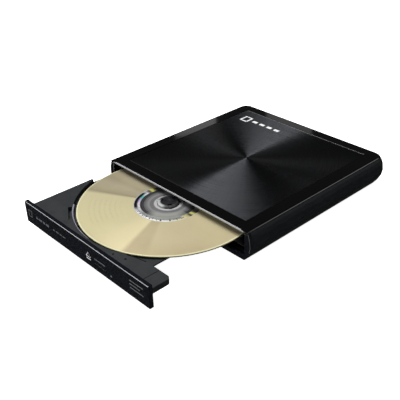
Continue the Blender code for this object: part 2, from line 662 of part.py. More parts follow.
def make_spindle():
    """Motor rotor with a raised hub, three spring claws in its slots, and the disc on its platform."""
    profile = ((0.0, 8.6), (1.2, 8.6), (1.2, 9.6), (10.5, 9.6), (10.5, 12.3), (15.5, 12.3), (15.5, 13.2),
               (7.2, 13.2), (7.2, 15.6), (6.4, 16.2), (2.2, 16.2), (1.8, 15.9), (0.0, 15.9))
    centre = (0.0, DISC_Y, 0.0)
    hub = drive_piece("turntable", turned(profile, 0.0, DISC_Y, 40), "turntable_grey", pivot=centre)
    cut(hub, *[radial_box(degrees, 3.9, 8.2, 1.4, 14.6, 17.0) for degrees in CLAW_ANGLES])
    for number, degrees in enumerate(CLAW_ANGLES, 1):
        turn = math.radians(degrees)
        middle = (6.5 * math.cos(turn), DISC_Y + 6.5 * math.sin(turn), 15.45)
        drive_piece(f"clamp_claw_{number}", radial_box(degrees, 5.0, 7.9, 1.1, 15.0, 15.9), "turntable_grey",
                    pivot=middle, smooth=False)
    disc = tube(0.0, DISC_Y, DISC_HOLE, DISC_RADIUS, DISC_BOTTOM_Z, DISC_BOTTOM_Z + DISC_THICK, 96)
    drive_piece("disc", disc, "disc_gold", pivot=centre)


def radial_box(degrees, r0, r1, half, z0, z1):
    turn = math.radians(degrees)
    out = Vector((math.cos(turn), math.sin(turn)))
    side = Vector((-out.y, out.x))
    centre = Vector((0.0, DISC_Y))
    corners = ((r0, -half), (r1, -half), (r1, half), (r0, half))
    return prism([tuple(centre + r * out + w * side) for r, w in corners], z0, z1)


def make_pickup():
    """Sled on its two rods, with the lens in the middle and an arm to the lead screw."""
    lens_x, lens_y = traverse(LENS_START, 0.0)
    sled = drive_piece("pickup_sled", slanted_box(12.0, 29.0, -11.0, 11.0, PARTS_Z, 11.5), "sled_black",
                       pivot=(lens_x, lens_y, 10.0))
    fuse(sled, slanted_box(14.0, 25.0, -20.6, 16.6, 10.8, 11.3))
    dome = ((0.0, 11.8), (2.4, 11.8), (2.4, 12.4), (1.9, 12.8), (0.0, 12.95))
    drive_piece("objective_lens", turned(dome, lens_x, lens_y, 20), "lens_glass",
                pivot=(lens_x, lens_y, 11.8))
    start, end = [(*traverse(s, SCREW_T), SCREW_Z) for s in (3.9, 58.0)]
    drive_piece("lead_screw", rod(start, end, 0.8), "port_steel", pivot=start)


def build():
    clear_scene()
    make_bottom_shell()
    make_top_cover()
    make_front_frame()
    make_feet_and_screws()
    make_bridge_board()
    make_chassis()
    make_runners()
    make_tray_frame()
    make_bezel()
    make_tray_inside()
    make_latch_lever()
    make_spindle()
    make_pickup()


build()
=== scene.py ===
import math

import bmesh
import bpy
from mathutils import Matrix, Vector


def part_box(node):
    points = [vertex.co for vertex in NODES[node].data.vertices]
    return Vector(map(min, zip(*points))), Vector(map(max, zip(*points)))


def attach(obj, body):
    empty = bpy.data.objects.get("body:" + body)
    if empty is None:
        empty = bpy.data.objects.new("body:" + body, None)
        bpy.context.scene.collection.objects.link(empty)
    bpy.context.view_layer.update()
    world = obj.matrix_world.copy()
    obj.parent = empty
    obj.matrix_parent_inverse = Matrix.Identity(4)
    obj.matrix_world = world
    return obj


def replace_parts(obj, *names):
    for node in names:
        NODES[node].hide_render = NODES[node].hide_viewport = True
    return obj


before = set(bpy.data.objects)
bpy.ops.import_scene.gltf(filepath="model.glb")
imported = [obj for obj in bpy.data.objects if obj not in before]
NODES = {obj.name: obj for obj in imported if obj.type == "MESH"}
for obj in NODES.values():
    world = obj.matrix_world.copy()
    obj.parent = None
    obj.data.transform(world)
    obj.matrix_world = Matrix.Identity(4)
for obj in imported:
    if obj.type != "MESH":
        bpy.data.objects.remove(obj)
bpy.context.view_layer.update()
MM = 0.001

# ------------------------------------------------------------------ places

PANEL_LOW, PANEL_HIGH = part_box("top_panel")
PANEL_CENTRE = (PANEL_LOW + PANEL_HIGH) / 2.0
DISC_LOW, DISC_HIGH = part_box("disc")
DISC_CENTRE = (DISC_LOW + DISC_HIGH) / 2.0
BEZEL_LOW, BEZEL_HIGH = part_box("tray_bezel")
TRAY_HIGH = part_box("tray_frame")[1]
COVER_LOW, COVER_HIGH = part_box("top_cover")
BUTTON_LOW, BUTTON_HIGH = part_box("eject_button")

RIGHT, BACK, UP = Vector((1, 0, 0)), Vector((0, 1, 0)), Vector((0, 0, 1))
LEFT, FORWARD = -RIGHT, -BACK

# Levels between which a noise texture mostly lies.
NOISE_SPAN = (0.3, 0.7)

# ------------------------------------------------------------- node helpers


class Graph:
    """A few short words for building a material's nodes."""

    def __init__(self, name):
        self.material = bpy.data.materials.new(name)
        self.material.use_nodes = True
        self.tree = self.material.node_tree
        self.tree.nodes.clear()
        self.out = self.node("OutputMaterial")
        self.shader = self.node("BsdfPrincipled")
        self.join(self.shader.outputs[0], self.out.inputs["Surface"])

    def node(self, kind, **settings):
        made = self.tree.nodes.new("ShaderNode" + kind)
        for key, value in settings.items():
            setattr(made, key, value)
        return made

    def join(self, source, target):
        self.tree.links.new(source, target)

    def feed(self, socket, value):
        if hasattr(value, "is_output"):
            self.join(value, socket)
        else:
            socket.default_value = value

    def place(self, scale=(1.0, 1.0, 1.0), shift=(0.0, 0.0, 0.0), turn=(0.0, 0.0, 0.0)):
        coordinate = self.node("TexCoord")
        mapping = self.node("Mapping")
        mapping.inputs["Scale"].default_value = scale
        mapping.inputs["Location"].default_value = shift
        mapping.inputs["Rotation"].default_value = turn
        self.join(coordinate.outputs["Object"], mapping.inputs["Vector"])
        return mapping.outputs[0]

    def point(self, x, y):
        made = self.node("CombineXYZ")
        self.join(x, made.inputs["X"])
        self.join(y, made.inputs["Y"])
        return made.outputs[0]

    def height(self):
        made = self.node("SeparateXYZ")
        self.join(self.place(), made.inputs[0])
        return made.outputs["Z"]

    def noise(self, where, scale, detail=3.0, roughness=0.55):
        made = self.node("TexNoise")
        self.join(where, made.inputs["Vector"])
        made.inputs["Scale"].default_value = scale
        made.inputs["Detail"].default_value = detail
        made.inputs["Roughness"].default_value = roughness
        return made.outputs["Fac"]

    def math(self, operation, a, b=0.0, c=0.0, clamp=False):
        made = self.node("Math", operation=operation, use_clamp=clamp)
        for socket, value in zip(made.inputs, (a, b, c)):
            self.feed(socket, value)
        return made.outputs[0]

    def times(self, a, b, clamp=False):
        return self.math("MULTIPLY", a, b, clamp=clamp)

    def vector(self, operation, a, b=(0.0, 0.0, 0.0)):
        made = self.node("VectorMath", operation=operation)
        self.feed(made.inputs[0], a)
        self.feed(made.inputs[1], b)
        return made.outputs["Value" if operation in ("LENGTH", "DOT_PRODUCT") else "Vector"]

    def ramp(self, value, stops, interpolation="LINEAR"):
        made = self.node("ValToRGB")
        made.color_ramp.interpolation = interpolation
        elements = made.color_ramp.elements
        while len(elements) < len(stops):
            elements.new(0.5)
        for element, (position, colour) in zip(elements, stops):
            element.position = position
            element.color = (*colour, 1.0)
        self.join(value, made.inputs[0])
        return made.outputs[0]

    def grey_ramp(self, value, stops):
        return self.ramp(value, [(at, (level,) * 3) for at, level in stops])

    def clouded(self, noise, low, high):
        return self.ramp(noise, list(zip(NOISE_SPAN, (low, high))))

    def spread(self, value, low, high, source=(0.0, 1.0)):
        made = self.node("MapRange")
        self.join(value, made.inputs["Value"])
        for key, level in zip(("From Min", "From Max", "To Min", "To Max"), (*source, low, high)):
            made.inputs[key].default_value = level
        return made.outputs["Result"]

    def mix(self, share, a, b):
        made = self.node("Mix", data_type="RGBA")
        self.feed(made.inputs["Factor"], share)
        self.feed(made.inputs["A"], a if hasattr(a, "is_output") else (*a, 1.0))
        self.feed(made.inputs["B"], b if hasattr(b, "is_output") else (*b, 1.0))
        return made.outputs["Result"]

    def bump(self, height, depth, strength=1.0):
        """Dent the shader's surface by a height, depth in metres."""
        made = self.node("Bump")
        made.inputs["Strength"].default_value = strength
        made.inputs["Distance"].default_value = depth
        self.join(height, made.inputs["Height"])
        self.join(made.outputs[0], self.shader.inputs["Normal"])

    def edge(self, radius):
        """1 near a sharp edge and 0 on flat ground."""
        rounded = self.node("Bevel", samples=4)
        rounded.inputs["Radius"].default_value = radius
        plain = self.node("NewGeometry")
        straight = self.vector("DOT_PRODUCT", rounded.outputs[0], plain.outputs["Normal"])
        return self.spread(straight, 1.0, 0.0, (0.75, 0.99))

    def set(self, **sockets):
        for key, value in sockets.items():
            if isinstance(value, tuple):
                value = (*value, 1.0)
            name = key.replace("_", " ").title().replace("Ior", "IOR")
            self.feed(self.shader.inputs[name], value)


def scaled(colour, factor):
    return tuple(min(1.0, part * factor) for part in colour)


# ------------------------------------------------------------------ finishes


def grained(name, colour, roughness, metallic=0.0, grain=900.0, depth=0.00003, wear_and_highlight=0.25,
            specular=0.5, edge_radius=0.0004):
    """Moulded or rolled surface: cloudy colour, uneven gloss, fine grain, lighter edges that are
    partly scuffing and partly painted edge highlight.
    """
    g = Graph(name)
    where = g.place()
    cloud = g.noise(where, 55.0, 4.0)
    fine = g.noise(where, grain, 3.0, 0.6)
    tone = g.clouded(cloud, scaled(colour, 0.88), scaled(colour, 1.12))
    speck = g.mix(g.spread(fine, 0.0, 0.35, (0.45, 0.75)), tone, scaled(colour, 1.35))
    # Lighter edges: partly scuffing, partly a painted highlight where edges catch the light.
    pale_edge = g.times(g.edge(edge_radius), wear_and_highlight)
    lighter = scaled(tuple(part + 0.02 for part in colour), 1.8)
    g.set(base_color=g.mix(pale_edge, speck, lighter), metallic=metallic)
    even = g.spread(g.noise(where, 140.0), roughness * 0.85, roughness * 1.15, NOISE_SPAN)
    g.set(roughness=even, specular_ior_level=specular)
    g.bump(fine, depth)
    return g.material


def brushed_steel(name, colour, roughness, along="Y"):
    """Rolled sheet with fine lines along one axis and faint handling marks."""
    g = Graph(name)
    fine, long = 1400.0, 8.0
    streak = g.noise(g.place(tuple(long if axis == along else fine for axis in "XYZ")), 1.0, 2.0)
    cloud = g.noise(g.place(), 70.0, 4.0)
    tone = g.clouded(streak, scaled(colour, 0.82), scaled(colour, 1.12))
    stained = g.mix(g.spread(cloud, 0.0, 0.3, (0.5, 0.8)), tone, scaled(colour, 0.7))
    g.set(base_color=stained, metallic=1.0, anisotropic=0.5)
    g.set(roughness=g.spread(cloud, roughness * 0.8, roughness * 1.25, NOISE_SPAN))
    g.bump(streak, 0.000012)
    return g.material


def gloss_black(name, colour, roughness):
    """Piano-black lacquer: faint flow ripple, dust-fine specks and hairline scratches."""
    g = Graph(name)
    flow = g.noise(g.place(), 45.0, 2.0)
    dust = g.noise(g.place(), 2600.0, 2.0)
    scratch = g.node("TexVoronoi", feature="DISTANCE_TO_EDGE")
    g.join(g.place((30.0, 160.0, 90.0), turn=(0.2, 0.4, 0.7)), scratch.inputs["Vector"])
    scratch.inputs["Scale"].default_value = 1.0
    hair = g.spread(scratch.outputs["Distance"], 1.0, 0.0, (0.0, 0.012))
    tone = g.clouded(flow, scaled(colour, 0.85), scaled(colour, 1.15))
    g.set(base_color=g.mix(g.spread(dust, 0.0, 0.25, (0.66, 0.85)), tone, scaled(colour, 3.0)))
    haze = g.spread(dust, roughness, roughness + 0.03, NOISE_SPAN)
    g.set(roughness=g.math("MULTIPLY_ADD", hair, 0.05, haze), specular_ior_level=0.5)
    g.set(coat_weight=0.3, coat_roughness=0.04)
    g.bump(flow, 0.00002, 0.25)
    return g.material


def ring_coordinates(g, centre):
    """Distance from an upright axis, turn round it as 0 to 1, and the direction outward."""
    where = g.place(shift=(-centre.x, -centre.y, 0.0))
    flat = g.vector("MULTIPLY", where, (1.0, 1.0, 0.0))
    parts = g.node("SeparateXYZ")
    g.join(flat, parts.inputs[0])
    angle = g.math("ARCTAN2", parts.outputs["Y"], parts.outputs["X"])
    turn = g.math("ADD", g.math("DIVIDE", angle, 2.0 * math.pi), 1.0)
    return g.vector("LENGTH", flat), g.math("FRACT", turn), g.vector("NORMALIZE", flat)


def spun_panel(name):
    """Dark anodised sheet, brushed in circles about its middle."""
    g = Graph(name)
    radius, turn, outward = ring_coordinates(g, PANEL_CENTRE)
    line = g.noise(g.point(g.times(radius, 5200.0), g.times(turn, 6.0)), 1.0, 2.0)
    ray = g.noise(g.point(g.times(radius, 30.0), g.times(turn, 150.0)), 1.0, 2.0)
    tone = g.clouded(line, (0.075, 0.080, 0.087), (0.115, 0.12, 0.13))
    mottled = g.mix(g.spread(ray, 0.0, 0.35, (0.4, 0.7)), tone, (0.07, 0.074, 0.08))
    g.set(base_color=mottled, metallic=1.0, anisotropic=1.0)
    g.set(roughness=g.spread(line, 0.26, 0.34, NOISE_SPAN), coat_weight=0.04, coat_roughness=0.12)
    g.join(outward, g.shader.inputs["Tangent"])
    g.bump(line, 0.000004, 0.3)
    return g.material


def sector(g, turn, start, full, still, stop, rest=0.0, last=0.0):
    """1 over a sector of the turn, with soft ends."""
    return g.grey_ramp(turn, [(start, rest), (full, 1.0), (still, 1.0), (stop, last)])


def thin_ring(g, radius, middle, width, along):
    """1 on a thin ring about an axis, kept to the sector along."""
    near = g.math("DIVIDE", g.math("ABSOLUTE", g.math("SUBTRACT", radius, middle)), width)
    body = g.times(g.math("SUBTRACT", 1.0, near, clamp=True), 1.7, clamp=True)
    return g.times(body, along)


def disc_label(name):
    """Pale gold printed face, wound with very fine grooves; its tone by turn is partly burned
    label print and partly painted reflection, darker in some sectors and towards the rim on one
    side.
    """
    g = Graph(name)
    radius, turn, outward = ring_coordinates(g, DISC_CENTRE)
    # Tone by turn: partly the burned label, partly painted reflection of the lights.
    gold_and_reflection = [
        (0.0, (0.51, 0.445, 0.27)), (0.30, (0.35, 0.31, 0.21)), (0.50, (0.32, 0.28, 0.19)),
        (0.515, (0.29, 0.25, 0.17)), (0.535, (0.35, 0.31, 0.22)), (0.560, (0.34, 0.30, 0.20)),
        (0.575, (0.28, 0.24, 0.16)), (0.584, (0.53, 0.48, 0.30)), (0.66, (0.56, 0.51, 0.305)),
        (0.74, (0.58, 0.52, 0.31)), (0.806, (0.64, 0.56, 0.335)), (0.816, (0.41, 0.34, 0.20)),
        (0.846, (0.41, 0.34, 0.205)), (0.856, (0.48, 0.42, 0.255)), (0.90, (0.48, 0.41, 0.255)),
        (1.0, (0.51, 0.445, 0.27)),
    ]
    tint = g.ramp(turn, gold_and_reflection)
    # Darker towards the rim over one sector of the turn.
    outer = g.times(g.spread(radius, 0.0, 0.5, (0.046, 0.056)),
                    sector(g, turn, 0.81, 0.83, 0.94, 0.97))
    line = g.noise(g.point(g.times(radius, 3800.0), g.times(turn, 9.0)), 1.0, 2.0)
    cloud = g.noise(g.place(), 40.0)
    rows = g.math("GREATER_THAN", g.math("SINE", g.times(radius, 1850.0)), 0.45)
    dots = g.point(g.times(turn, 260.0), g.math("FLOOR", g.times(radius, 294.0)))
    words = g.math("GREATER_THAN", g.noise(dots, 1.0, 1.0), 0.48)
    printed = g.times(sector(g, turn, 0.60, 0.61, 0.70, 0.71),
                      sector(g, radius, 0.031, 0.0315, 0.0535, 0.054))
    notes = g.times(g.times(rows, words), printed)
    tint = g.mix(g.times(notes, 0.28), tint, (0.40, 0.36, 0.24))
    tint = g.mix(outer, tint, (0.40, 0.32, 0.18))
    shade = g.mix(g.spread(line, 0.0, 0.15, (0.35, 0.7)), tint, (0.50, 0.42, 0.22))
    misted = g.mix(g.spread(cloud, 0.0, 0.10, (0.45, 0.75)), shade, (0.80, 0.74, 0.50))
    g.set(base_color=misted, metallic=0.10, anisotropic=0.7)
    g.set(roughness=g.spread(line, 0.36, 0.46, NOISE_SPAN), specular_ior_level=0.35)
    g.set(coat_weight=0.15, coat_roughness=0.2)
    g.join(outward, g.shader.inputs["Tangent"])
    g.bump(line, 0.000003, 0.3)
    return g.material


def disc_mirror(name):
    """Bare mirror band inside the label: its rainbow and dark bands painted by turn as reflection,
    and dark code marks.
    """
    g = Graph(name)
    radius, turn, outward = ring_coordinates(g, DISC_CENTRE)
    black = (0.03, 0.03, 0.02)
    # Painted reflection: the rainbow and black bands the mirror shows, set by turn.
    rainbow_reflection = [
        (0.0, black), (0.018, (0.80, 0.74, 0.20)), (0.036, black), (0.07, (0.30, 0.29, 0.24)),
        (0.30, (0.30, 0.32, 0.36)), (0.45, (0.02, 0.02, 0.02)), (0.475, (0.80, 0.76, 0.14)),
        (0.495, black), (0.515, (0.80, 0.78, 0.84)), (0.56, (0.06, 0.58, 0.48)),
        (0.595, (0.62, 0.46, 0.84)), (0.635, (0.86, 0.80, 0.88)), (0.72, (0.92, 0.92, 0.94)),
        (0.88, (0.82, 0.80, 0.74)), (0.965, (0.78, 0.72, 0.40)), (0.985, (0.60, 0.54, 0.20)),
        (1.0, black),
    ]
    tint = g.ramp(turn, rainbow_reflection, "EASE")
    inside = g.times(g.spread(radius, 1.0, 0.0, (0.0206, 0.0216)),
                     sector(g, turn, 0.66, 0.74, 0.95, 0.965))
    tint = g.mix(inside, tint, (0.26, 0.27, 0.25))
    dark = thin_ring(g, radius, 0.0216, 0.0019, sector(g, turn, 0.50, 0.53, 0.66, 0.70))
    code = g.point(g.times(turn, 90.0), g.math("FLOOR", g.times(radius, 900.0)))
    marks = g.math("GREATER_THAN", g.noise(code, 1.0, 1.0), 0.56)
    dashed = thin_ring(g, radius, 0.0212, 0.0012, sector(g, turn, 0.66, 0.68, 0.96, 0.98))
    dark = g.math("MAXIMUM", dark, g.times(marks, g.spread(dashed, 0.25, 1.0)))
    wave = g.noise(g.place(), 160.0, 2.0)
    pale = g.mix(g.spread(wave, 0.0, 0.15), tint, (0.55, 0.56, 0.58))
    g.set(base_color=g.mix(dark, pale, (0.010, 0.010, 0.012)), metallic=0.35, anisotropic=0.8)
    groove = g.math("SINE", g.times(radius, 9000.0))
    g.set(roughness=g.spread(groove, 0.26, 0.40, (-1.0, 1.0)))
    g.join(outward, g.shader.inputs["Tangent"])
    return g.material


def disc_clear(name):
    """Bare polycarbonate hub with faint turned rings; its grey rings by radius are partly what
    shows through it and partly painted light and shade, with a painted lit side.
    """
    g = Graph(name)
    radius, turn, outward = ring_coordinates(g, DISC_CENTRE)
    # Grey steps by radius: partly what shows through the clear hub, partly painted light and
    # shade.
    steps = [(0.0, 0.40), (0.18, 0.40), (0.23, 0.13), (0.38, 0.12), (0.50, 0.20), (0.60, 0.14),
             (0.74, 0.08), (0.80, 0.02), (0.95, 0.02), (1.0, 0.30)]
    under = g.grey_ramp(g.spread(radius, 0.0, 1.0, (0.007, 0.019)), steps)
    # Painted light on one side of the hub.
    lit_side = g.times(g.spread(radius, 0.0, 0.7, (0.0115, 0.0145)),
                       sector(g, turn, 0.74, 0.80, 0.94, 1.0, last=0.3))
    tone = g.mix(lit_side, under, (0.34, 0.34, 0.31))
    groove = g.math("SINE", g.times(radius, 5200.0))
    lit = g.mix(g.spread(groove, 0.0, 0.08, (0.2, 1.0)), tone, (0.46, 0.47, 0.46))
    cloud = g.noise(g.place(), 120.0, 2.0)
    g.set(base_color=g.mix(g.spread(cloud, 0.0, 0.1), lit, (0.16, 0.17, 0.17)))
    g.set(roughness=g.spread(cloud, 0.14, 0.26), coat_weight=0.1, coat_roughness=0.06,
          specular_ior_level=0.25)
    g.join(outward, g.shader.inputs["Tangent"])
    g.bump(groove, 0.00001, 0.4)
    return g.material


def disc_edge(name):
    """Clear moulded rim with a painted highlight, pale, along its top and painted shade, dark
    olive, down its side.
    """
    g = Graph(name)
    cloud = g.noise(g.place(), 90.0)
    # Painted highlight on the rim's top, painted shade down its side.
    high = g.spread(g.height(), 0.0, 1.0, (DISC_HIGH.z - 0.45 * MM, DISC_HIGH.z - 0.05 * MM))
    tone = g.mix(high, (0.060, 0.055, 0.022), (0.80, 0.78, 0.50))
    g.set(base_color=g.mix(g.spread(cloud, 0.0, 0.25), tone, (0.30, 0.26, 0.14)))
    g.set(roughness=g.spread(cloud, 0.12, 0.24), coat_weight=0.3, coat_roughness=0.08)
    return g.material


def turntable_face(name):
    """Black rubber-faced turntable with a painted highlight ring round its raised hub, brightest
    over part of the turn.
    """
    g = Graph(name)
    radius, turn, outward = ring_coordinates(g, DISC_CENTRE)
    # Painted highlight: a pale ring round the raised hub, brightest over one sector of the turn.
    hub_highlight = g.times(
        sector(g, g.spread(radius, 0.0, 1.0, (0.0, 0.010)), 0.50, 0.60, 0.78, 0.84, last=0.4),
        sector(g, turn, 0.54, 0.60, 0.78, 0.84, rest=0.05, last=0.1))
    cloud = g.noise(g.place(), 500.0)
    base = g.clouded(cloud, (0.008, 0.008, 0.009), (0.016, 0.016, 0.018))
    g.set(base_color=g.mix(hub_highlight, base, (0.42, 0.43, 0.42)))
    g.set(roughness=g.spread(cloud, 0.35, 0.5), anisotropic=0.4, specular_ior_level=0.25)
    g.join(outward, g.shader.inputs["Tangent"])
    g.bump(cloud, 0.00002)
    return g.material


def button_face(name):
    """Gloss black with painted highlights along its edges above and below."""
    g = Graph(name)
    middle = (BUTTON_LOW.z + BUTTON_HIGH.z) / 2.0
    half = (BUTTON_HIGH.z - BUTTON_LOW.z) / 2.0
    away = g.math("ABSOLUTE", g.math("SUBTRACT", g.height(), middle))
    # Painted highlight: paler bands along the key's top and bottom edges.
    pale_edge = g.spread(away, 0.0, 1.0, (half - 0.6 * MM, half - 0.3 * MM))
    cloud = g.noise(g.place(), 900.0)
    mottled = g.times(pale_edge, g.spread(cloud, 0.7, 1.0, NOISE_SPAN))
    g.set(base_color=g.mix(mottled, (0.0045, 0.0050, 0.0070), (0.16, 0.17, 0.18)))
    g.set(roughness=g.spread(cloud, 0.07, 0.12), coat_weight=0.3, coat_roughness=0.04)
    return g.material


def trim_line(name, colour):
    """Pale satin line with a fine drawn grain; the edge strips made with it are painted
    highlights.
    """
    g = Graph(name)
    cloud = g.noise(g.place((40.0, 900.0, 900.0)), 1.0)
    tone = g.mix(g.spread(cloud, 0.0, 0.35, NOISE_SPAN), colour, scaled(colour, 0.75))
    g.set(base_color=tone, metallic=0.15, roughness=g.spread(cloud, 0.25, 0.4))
    return g.material


def board(name):
    """Solder-masked board with paler tracks and plated dots."""
    g = Graph(name)
    where = g.place()
    track = g.node("TexBrick", offset=0.35)
    g.join(where, track.inputs["Vector"])
    settings = {"Scale": 260.0, "Mortar Size": 0.03, "Brick Width": 0.9, "Row Height": 0.22,
                "Color1": (0.010, 0.085, 0.030, 1.0), "Color2": (0.016, 0.11, 0.042, 1.0),
                "Mortar": (0.035, 0.17, 0.075, 1.0)}
    for key, value in settings.items():
        track.inputs[key].default_value = value
    dots = g.node("TexVoronoi")
    g.join(where, dots.inputs["Vector"])
    dots.inputs["Scale"].default_value = 420.0
    plated = g.spread(dots.outputs["Distance"], 1.0, 0.0, (0.10, 0.16))
    g.set(base_color=g.mix(plated, track.outputs["Color"], (0.62, 0.60, 0.52)), roughness=0.35)
    g.set(metallic=g.times(plated, 0.7), coat_weight=0.4, coat_roughness=0.15)
    g.bump(track.outputs["Fac"], 0.00003)
    return g.material


def winding(name):
    """Enamelled wire wound in close turns."""
    g = Graph(name)
    turns = g.node("TexWave", wave_type="BANDS", bands_direction="Y")
    g.join(g.place(), turns.inputs["Vector"])
    turns.inputs["Scale"].default_value = 900.0
    turns.inputs["Distortion"].default_value = 0.4
    wire = turns.outputs["Fac"]
    g.set(base_color=g.ramp(wire, [(0.1, (0.22, 0.07, 0.02)), (0.8, (0.78, 0.36, 0.14))]))
    g.set(metallic=0.8, roughness=g.spread(wire, 0.5, 0.28))
    g.bump(wire, 0.0001)
    return g.material


def ribbon(name):
    """Flat cable film over rows of conductors."""
    g = Graph(name)
    rows = g.node("TexWave", wave_type="BANDS", bands_direction="X")
    g.join(g.place(), rows.inputs["Vector"])
    rows.inputs["Scale"].default_value = 640.0
    film = rows.outputs["Fac"]
    g.set(base_color=g.ramp(film, [(0.25, (0.66, 0.66, 0.62)), (0.75, (0.46, 0.36, 0.22))]))
    g.set(roughness=g.spread(g.noise(g.place(), 300.0), 0.3, 0.5), coat_weight=0.3,
          coat_roughness=0.1)
    g.bump(film, 0.00004)
    return g.material


def lens(name, colour):
    """Polished clear plastic or glass, seen as a tinted gloss."""
    g = Graph(name)
    cloud = g.noise(g.place(), 800.0)
    g.set(base_color=g.mix(g.spread(cloud, 0.0, 0.3), colour, scaled(colour, 0.7)))
    g.set(roughness=g.spread(cloud, 0.04, 0.10), coat_weight=1.0, coat_roughness=0.02,
          specular_ior_level=0.8)
    return g.material


def print_ink(name, colour, shine=0.5):
    """Matte pad-printed ink, a little uneven."""
    g = Graph(name)
    cloud = g.noise(g.place(), 1800.0)
    g.set(base_color=g.mix(g.spread(cloud, 0.0, 0.35, (0.35, 0.7)), colour, scaled(colour, 0.7)))
    g.set(roughness=g.spread(cloud, 0.42, 0.58), specular_ior_level=shine)
    g.bump(cloud, 0.00001)
    return g.material


LOOKS = {
    "shell_satin": grained("shell_satin", (0.0068, 0.0094, 0.0106), 0.40, grain=1500.0,
                           depth=0.000012, wear_and_highlight=0.10, specular=0.45),
    "cover_gloss": gloss_black("cover_gloss", (0.0013, 0.0013, 0.0016), 0.05),
    "panel_brushed": spun_panel("panel_brushed"),
    "bezel_gloss": gloss_black("bezel_gloss", (0.0050, 0.0058, 0.0085), 0.07),
    "rubber_black": grained("rubber_black", (0.018, 0.018, 0.018), 0.85, grain=1800.0,
                            depth=0.00008),
    "screw_steel": grained("screw_steel", (0.34, 0.34, 0.35), 0.33, 1.0, grain=2500.0,
                           depth=0.00001),
    "sheet_steel": brushed_steel("sheet_steel", (0.42, 0.43, 0.44), 0.34),
    "guide_plastic": grained("guide_plastic", (0.10, 0.10, 0.10), 0.5, grain=1200.0),
    "board_green": board("board_green"),
    "chip_black": grained("chip_black", (0.020, 0.020, 0.022), 0.55, grain=2600.0, depth=0.00004),
    "cable_film": ribbon("cable_film"),
    "socket_black": grained("socket_black", (0.020, 0.020, 0.021), 0.48, grain=1500.0),
    "port_steel": brushed_steel("port_steel", (0.58, 0.58, 0.60), 0.24),
    "tray_matte": grained("tray_matte", (0.0125, 0.0150, 0.0165), 0.50, grain=1300.0, wear_and_highlight=0.35,
                          edge_radius=0.0003),
    "lens_clear": lens("lens_clear", (0.16, 0.19, 0.23)),
    "motor_steel": brushed_steel("motor_steel", (0.50, 0.50, 0.52), 0.3, "X"),
    "turntable_grey": turntable_face("turntable_grey"),
    "disc_gold": disc_label("disc_gold"),
    "sled_black": grained("sled_black", (0.035, 0.035, 0.038), 0.5, grain=1400.0),
    "lens_glass": lens("lens_glass", (0.20, 0.24, 0.42)),
    "lever_white": grained("lever_white", (0.62, 0.62, 0.58), 0.5, grain=1200.0),
    "coil_copper": winding("coil_copper"),
}
# Pale line looks: painted highlights along edges in bright, soft and dim strengths, and a painted
# sheen for the lid's lip.
HIGHLIGHT_BRIGHT = trim_line("painted_highlight_bright", (0.52, 0.53, 0.55))
HIGHLIGHT_SOFT = trim_line("painted_highlight_soft", (0.22, 0.22, 0.23))
LIP_SHEEN = trim_line("painted_lip_sheen", (0.42, 0.42, 0.44))
HIGHLIGHT_DIM = trim_line("painted_highlight_dim", (0.09, 0.09, 0.095))
INK_SHADE = print_ink("ink_shade", (0.022, 0.023, 0.025))
SEAM_DARK = print_ink("seam_dark", (0.003, 0.003, 0.004), 0.08)
INK_WHITE = print_ink("ink_white", (0.86, 0.87, 0.88))
INK_GREY = print_ink("ink_grey", (0.14, 0.145, 0.155))
INK_DIM = print_ink("ink_dim", (0.12, 0.125, 0.135))

LOOK_OF_NODE = {"eject_button": button_face("button_face")}

# Width in millimetres of the round on a node's sharp edges; other nodes keep theirs sharp.
SOFT_EDGES = {
    "bottom_shell": 0.25, "top_panel": 0.18, "tray_frame": 0.18, "tray_bezel": 0.12,
    "eject_button": 0.12, "turntable": 0.12, "tray_bottom_cover": 0.1, "usb_port": 0.1,
    "dc_jack": 0.15, "drive_pan": 0.12, "left_slide_rail": 0.08, "right_slide_rail": 0.08,
    "bridge_chip": 0.12, "main_chip": 0.12, "pickup_sled": 0.15, "latch_lever": 0.12,
    "sled_motor": 0.3, "capacitor": 0.25, "clamp_claw_1": 0.12, "clamp_claw_2": 0.12,
    "clamp_claw_3": 0.12, "latch_solenoid": 0.2, "eject_switch": 0.12, "drive_connector": 0.15,
    "led_window": 0.08,
}


def dress_cad_nodes():
    """Give every CAD node the look of its material slot, and the nodes in SOFT_EDGES a slight
    round on their edges.
    """
    for name, node in NODES.items():
        slot = node.data.materials[0].name if node.data.materials else "sheet_steel"
        look = LOOKS.get(slot.split(".")[0], LOOKS["sheet_steel"])
        for place in node.material_slots:
            place.material = LOOK_OF_NODE.get(name, look)
        width = SOFT_EDGES.get(name, 0.0)
        if width:
            bevel = node.modifiers.new("soft_edges", "BEVEL")
            bevel.width = width * MM
            bevel.segments = 2
            bevel.limit_method = "ANGLE"
            bevel.angle_limit = math.radians(40.0)
            bevel.harden_normals = True


# ------------------------------------------------------------------- pieces


def mesh_piece(name, bm, looks, body, smooth_angle=30.0):
    bmesh.ops.recalc_face_normals(bm, faces=bm.faces)
    mesh = bpy.data.meshes.new(name)
    bm.to_mesh(mesh)
    bm.free()
    for look in looks:
        mesh.materials.append(look)
    mesh.shade_smooth()
    mesh.set_sharp_from_angle(angle=math.radians(smooth_angle))
    made = bpy.data.objects.new(name, mesh)
    bpy.context.scene.collection.objects.link(made)
    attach(made, body)
    return made


def around(centre, radius, height, turn):
    """A point by radius and height in millimetres and a turn in radians about an upright axis."""
    return Vector((centre.x + radius * MM * math.cos(turn),
                   centre.y + radius * MM * math.sin(turn), height * MM))


def skin(bm, first, last):
    """Faces between two closed rings of corners."""
    count = len(first)
    return [bm.faces.new((first[k], first[(k + 1) % count], last[(k + 1) % count], last[k]))
            for k in range(count)]


def bar(bm, rows):
    """Closed bar through rows of corners."""
    for first, last in zip(rows, rows[1:]):
        skin(bm, first, last)
    bm.faces.new(rows[0])
    bm.faces.new(rows[-1])


